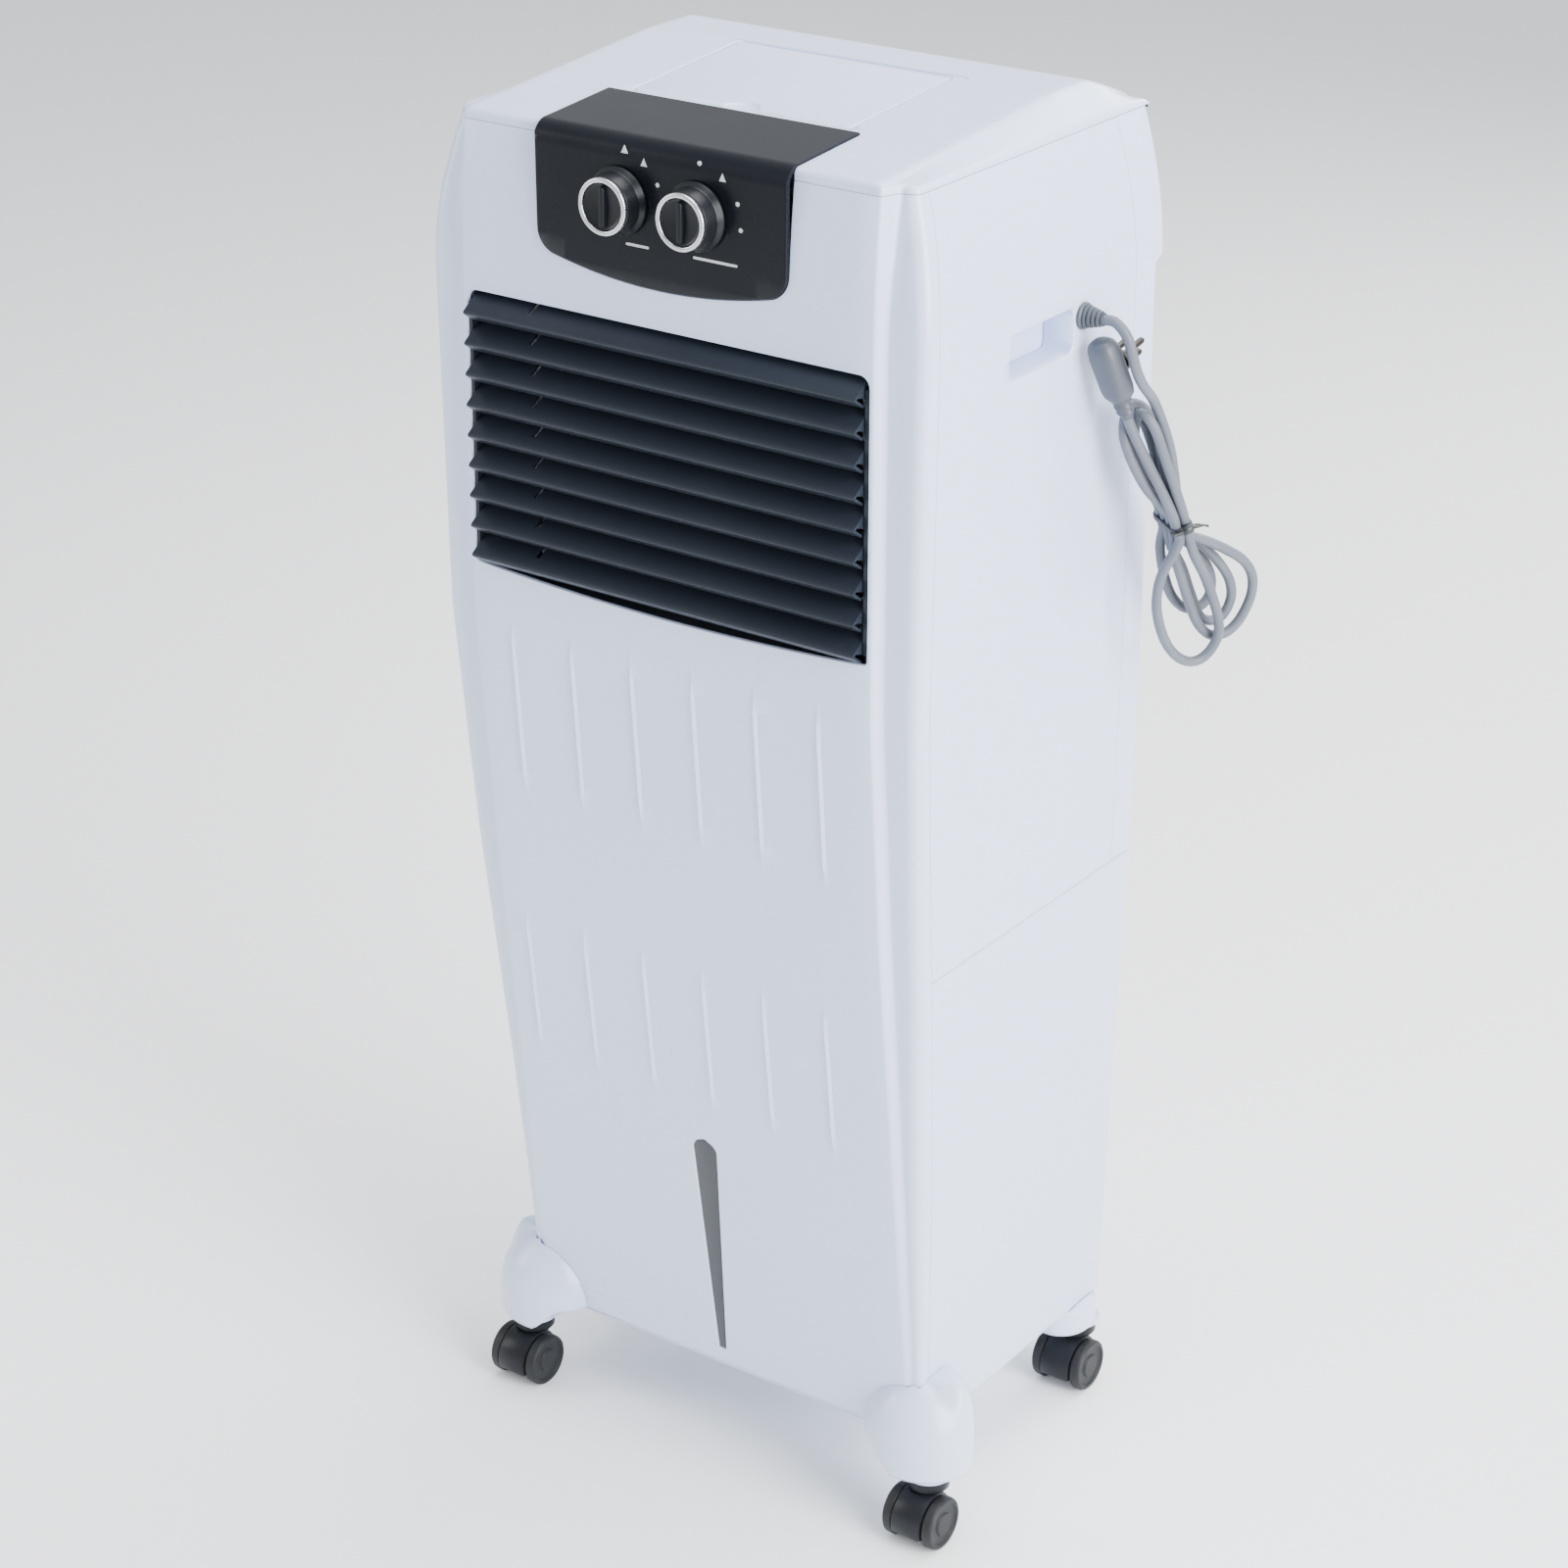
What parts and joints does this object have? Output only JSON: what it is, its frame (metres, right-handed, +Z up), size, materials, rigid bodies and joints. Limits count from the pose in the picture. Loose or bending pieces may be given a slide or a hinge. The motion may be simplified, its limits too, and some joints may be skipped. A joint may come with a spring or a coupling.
{
  "type": "evaporative cooler",
  "caption": "Tower evaporative cooler on casters: tilting louvres, swinging vanes, blower, wet pad cassette, water tank with pump and level window, knobs and mains lead.",
  "frame": {"origin": "on the floor under the middle of the machine, measured without the mains lead", "axes": "+Z up; the front with the louvres faces -Y; +X points to the side that the mains lead leaves"},
  "size_m": [0.4534, 0.3221, 0.9505],
  "materials": {
    "white_abs": "satin white moulding",
    "inner_abs": "plain inner moulding",
    "slate_plastic": "dark slate satin",
    "gloss_black": "gloss black",
    "silver_trim": "bright silver",
    "caster_black": "black moulding",
    "caster_tread": "black nylon",
    "motor_steel": "pressed steel can",
    "blower_plastic": "grey moulding",
    "pad_paper": "corrugated cellulose",
    "window_smoke": "smoked clear plastic",
    "float_red": "red",
    "lead_grey": "grey flexible sheath",
    "tie_black": "black twist tie",
    "pin_brass": "nickelled brass",
    "hose_grey": "soft hose"
  },
  "bodies": {
    "casing": {"front_panel": "white_abs", "side_panel_left": "white_abs", "side_panel_right": "white_abs", "rear_casing": "white_abs", "top_cover": "white_abs", "ice_tray": "inner_abs", "control_fascia": "gloss_black", "rotary_switches": "slate_plastic", "outlet_frame": "slate_plastic", "air_duct": "inner_abs", "swing_motor": "motor_steel", "blower_housing": "inner_abs", "fan_motor": "motor_steel", "water_tank": "white_abs", "pump": "slate_plastic", "water_distributor": "inner_abs", "pump_hose": "hose_grey", "level_window": "window_smoke", "base_frame": "white_abs", "strain_relief": "lead_grey", "power_cord": "lead_grey", "cord_hank": "lead_grey", "cord_tie": "tie_black", "plug": "lead_grey", "plug_pins": "pin_brass"},
    "fill_lid": {"fill_lid": "white_abs"},
    "speed_knob": {"speed_knob": "gloss_black", "speed_knob_ring": "silver_trim"},
    "cooling_knob": {"cooling_knob": "gloss_black", "cooling_knob_ring": "silver_trim"},
    "louvre_1": {"louvre_1": "slate_plastic"},
    "louvre_2": {"louvre_2": "slate_plastic"},
    "louvre_3": {"louvre_3": "slate_plastic"},
    "louvre_4": {"louvre_4": "slate_plastic"},
    "louvre_5": {"louvre_5": "slate_plastic"},
    "louvre_6": {"louvre_6": "slate_plastic"},
    "louvre_7": {"louvre_7": "slate_plastic"},
    "louvre_8": {"louvre_8": "slate_plastic"},
    "louvre_9": {"louvre_9": "slate_plastic"},
    "louvre_link": {"louvre_link": "slate_plastic"},
    "vane_1": {"vane_1": "slate_plastic"},
    "vane_2": {"vane_2": "slate_plastic"},
    "vane_3": {"vane_3": "slate_plastic"},
    "vane_4": {"vane_4": "slate_plastic"},
    "vane_5": {"vane_5": "slate_plastic"},
    "vane_link": {"vane_link": "slate_plastic"},
    "blower_wheel": {"blower_wheel": "blower_plastic"},
    "pad_cassette": {"pad_grille": "white_abs", "cooling_pad": "pad_paper"},
    "level_float": {"level_float": "float_red"},
    "drain_plug": {"drain_plug": "slate_plastic"},
    "caster_front_left": {"caster_hood_front_left": "caster_black"},
    "wheels_front_left": {"caster_wheels_front_left": "caster_tread"},
    "caster_front_right": {"caster_hood_front_right": "caster_black"},
    "wheels_front_right": {"caster_wheels_front_right": "caster_tread"},
    "caster_rear_left": {"caster_hood_rear_left": "caster_black"},
    "wheels_rear_left": {"caster_wheels_rear_left": "caster_tread"},
    "caster_rear_right": {"caster_hood_rear_right": "caster_black"},
    "wheels_rear_right": {"caster_wheels_rear_right": "caster_tread"}
  },
  "joints": [
    {"name": "fill_lid_hinge", "type": "hinge", "parent": "casing", "child": "fill_lid", "pos_m": [0, 0.048, 0.9479], "axis": [-1, 0, 0], "range_deg": [0, 95]},
    {"name": "speed_knob_turn", "type": "hinge", "parent": "casing", "child": "speed_knob", "pos_m": [-0.0285, -0.1421, 0.8995], "axis": [0, 1, 0], "range_deg": [0, 120]},
    {"name": "cooling_knob_turn", "type": "hinge", "parent": "casing", "child": "cooling_knob", "pos_m": [0.0285, -0.1421, 0.8995], "axis": [0, 1, 0], "range_deg": [0, 120]},
    {"name": "louvre_1_tilt", "type": "hinge", "parent": "casing", "child": "louvre_1", "pos_m": [0, -0.1365, 0.81406], "axis": [-1, 0, 0], "range_deg": [-12, 40]},
    {"name": "louvre_2_tilt", "type": "hinge", "parent": "casing", "child": "louvre_2", "pos_m": [0, -0.1365, 0.79417], "axis": [-1, 0, 0], "range_deg": [-12, 40]},
    {"name": "louvre_3_tilt", "type": "hinge", "parent": "casing", "child": "louvre_3", "pos_m": [0, -0.1365, 0.77428], "axis": [-1, 0, 0], "range_deg": [-12, 40]},
    {"name": "louvre_4_tilt", "type": "hinge", "parent": "casing", "child": "louvre_4", "pos_m": [0, -0.1365, 0.75439], "axis": [-1, 0, 0], "range_deg": [-12, 40]},
    {"name": "louvre_5_tilt", "type": "hinge", "parent": "casing", "child": "louvre_5", "pos_m": [0, -0.1365, 0.7345], "axis": [-1, 0, 0], "range_deg": [-12, 40]},
    {"name": "louvre_6_tilt", "type": "hinge", "parent": "casing", "child": "louvre_6", "pos_m": [0, -0.1365, 0.71461], "axis": [-1, 0, 0], "range_deg": [-12, 40]},
    {"name": "louvre_7_tilt", "type": "hinge", "parent": "casing", "child": "louvre_7", "pos_m": [0, -0.1365, 0.69472], "axis": [-1, 0, 0], "range_deg": [-12, 40]},
    {"name": "louvre_8_tilt", "type": "hinge", "parent": "casing", "child": "louvre_8", "pos_m": [0, -0.1365, 0.67483], "axis": [-1, 0, 0], "range_deg": [-12, 40]},
    {"name": "louvre_9_tilt", "type": "hinge", "parent": "casing", "child": "louvre_9", "pos_m": [0, -0.1365, 0.65494], "axis": [-1, 0, 0], "range_deg": [-12, 40]},
    {"name": "louvre_link_pivot", "type": "hinge", "parent": "louvre_5", "child": "louvre_link", "pos_m": [-0.1, -0.1265, 0.7345], "axis": [-1, 0, 0], "range_deg": [-40, 12]},
    {"name": "vane_1_swing", "type": "hinge", "parent": "casing", "child": "vane_1", "pos_m": [-0.108, -0.098, 0.6572], "axis": [0, 0, 1], "range_deg": [-35, 35]},
    {"name": "vane_2_swing", "type": "hinge", "parent": "casing", "child": "vane_2", "pos_m": [-0.054, -0.098, 0.6572], "axis": [0, 0, 1], "range_deg": [-35, 35]},
    {"name": "vane_3_swing", "type": "hinge", "parent": "casing", "child": "vane_3", "pos_m": [0, -0.098, 0.6572], "axis": [0, 0, 1], "range_deg": [-35, 35]},
    {"name": "vane_4_swing", "type": "hinge", "parent": "casing", "child": "vane_4", "pos_m": [0.054, -0.098, 0.6572], "axis": [0, 0, 1], "range_deg": [-35, 35]},
    {"name": "vane_5_swing", "type": "hinge", "parent": "casing", "child": "vane_5", "pos_m": [0.108, -0.098, 0.6572], "axis": [0, 0, 1], "range_deg": [-35, 35]},
    {"name": "vane_link_pivot", "type": "hinge", "parent": "vane_3", "child": "vane_link", "pos_m": [0, -0.0878, 0.6532], "axis": [0, 0, 1], "range_deg": [-35, 35]},
    {"name": "blower_wheel_spin", "type": "hinge", "parent": "casing", "child": "blower_wheel", "pos_m": [-0.022, -0.024, 0.5555], "axis": [0, 1, 0], "continuous": true},
    {"name": "pad_cassette_pull", "type": "slide", "parent": "casing", "child": "pad_cassette", "axis": [0, 1, 0], "range_m": [0, 0.06]},
    {"name": "level_float_rise", "type": "slide", "parent": "casing", "child": "level_float", "axis": [0, -0.1096, 0.994], "range_m": [0, 0.13]},
    {"name": "drain_plug_pull", "type": "slide", "parent": "casing", "child": "drain_plug", "axis": [0, 1, 0], "range_m": [0, 0.03]},
    {"name": "caster_front_left_swivel", "type": "hinge", "parent": "casing", "child": "caster_front_left", "pos_m": [-0.169, -0.085, 0.0469], "axis": [0, 0, 1], "continuous": true},
    {"name": "wheels_front_left_roll", "type": "hinge", "parent": "caster_front_left", "child": "wheels_front_left", "pos_m": [-0.169, -0.094, 0.0185], "axis": [1, 0, 0], "continuous": true},
    {"name": "caster_front_right_swivel", "type": "hinge", "parent": "casing", "child": "caster_front_right", "pos_m": [0.169, -0.085, 0.0469], "axis": [0, 0, 1], "continuous": true},
    {"name": "wheels_front_right_roll", "type": "hinge", "parent": "caster_front_right", "child": "wheels_front_right", "pos_m": [0.169, -0.094, 0.0185], "axis": [1, 0, 0], "continuous": true},
    {"name": "caster_rear_left_swivel", "type": "hinge", "parent": "casing", "child": "caster_rear_left", "pos_m": [-0.15, 0.134, 0.0469], "axis": [0, 0, 1], "continuous": true},
    {"name": "wheels_rear_left_roll", "type": "hinge", "parent": "caster_rear_left", "child": "wheels_rear_left", "pos_m": [-0.15, 0.125, 0.0185], "axis": [1, 0, 0], "continuous": true},
    {"name": "caster_rear_right_swivel", "type": "hinge", "parent": "casing", "child": "caster_rear_right", "pos_m": [0.15, 0.134, 0.0469], "axis": [0, 0, 1], "continuous": true},
    {"name": "wheels_rear_right_roll", "type": "hinge", "parent": "caster_rear_right", "child": "wheels_rear_right", "pos_m": [0.15, 0.125, 0.0185], "axis": [1, 0, 0], "continuous": true}
  ],
  "couplings": [
    {"joint": "louvre_1_tilt", "follows": "louvre_5_tilt", "ratio": 1},
    {"joint": "louvre_2_tilt", "follows": "louvre_5_tilt", "ratio": 1},
    {"joint": "louvre_3_tilt", "follows": "louvre_5_tilt", "ratio": 1},
    {"joint": "louvre_4_tilt", "follows": "louvre_5_tilt", "ratio": 1},
    {"joint": "louvre_6_tilt", "follows": "louvre_5_tilt", "ratio": 1},
    {"joint": "louvre_7_tilt", "follows": "louvre_5_tilt", "ratio": 1},
    {"joint": "louvre_8_tilt", "follows": "louvre_5_tilt", "ratio": 1},
    {"joint": "louvre_9_tilt", "follows": "louvre_5_tilt", "ratio": 1},
    {"joint": "louvre_link_pivot", "follows": "louvre_5_tilt", "ratio": -1},
    {"joint": "vane_1_swing", "follows": "vane_3_swing", "ratio": 1},
    {"joint": "vane_2_swing", "follows": "vane_3_swing", "ratio": 1},
    {"joint": "vane_4_swing", "follows": "vane_3_swing", "ratio": 1},
    {"joint": "vane_5_swing", "follows": "vane_3_swing", "ratio": 1},
    {"joint": "vane_link_pivot", "follows": "vane_3_swing", "ratio": -1}
  ]
}
